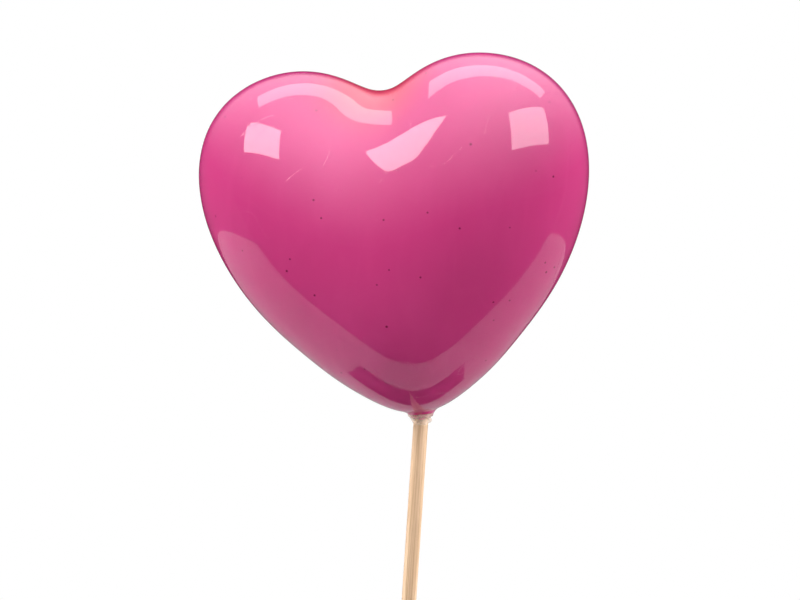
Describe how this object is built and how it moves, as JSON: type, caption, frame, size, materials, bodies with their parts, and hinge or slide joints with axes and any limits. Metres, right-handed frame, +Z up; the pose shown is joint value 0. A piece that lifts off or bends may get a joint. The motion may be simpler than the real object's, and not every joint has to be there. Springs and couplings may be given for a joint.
{
  "type": "decorative heart pick",
  "caption": "Puffy hollow glass heart, coloured on its inside, hot-glued on a thin pointed bamboo stick that pushes into foam or soil.",
  "frame": {"origin": "on the stick's axis, where its full round begins above the point", "axes": "+Z up the stick, the heart faces -Y and leans towards -X"},
  "size_m": [0.08, 0.0426, 0.3335],
  "materials": {
    "clear_glass": "clear blown glass, fire-polished",
    "pink_lacquer": "opaque pink lacquer behind glass, mirror gloss",
    "hot_melt_glue": "translucent, softly glossy",
    "bamboo": "plain, fine lengthwise fibre, unsealed"
  },
  "bodies": {
    "root": {"glass_heart": "clear_glass", "colour_coat": "pink_lacquer", "glue_joint": "hot_melt_glue", "bamboo_stick": "bamboo"}
  },
  "joints": []
}
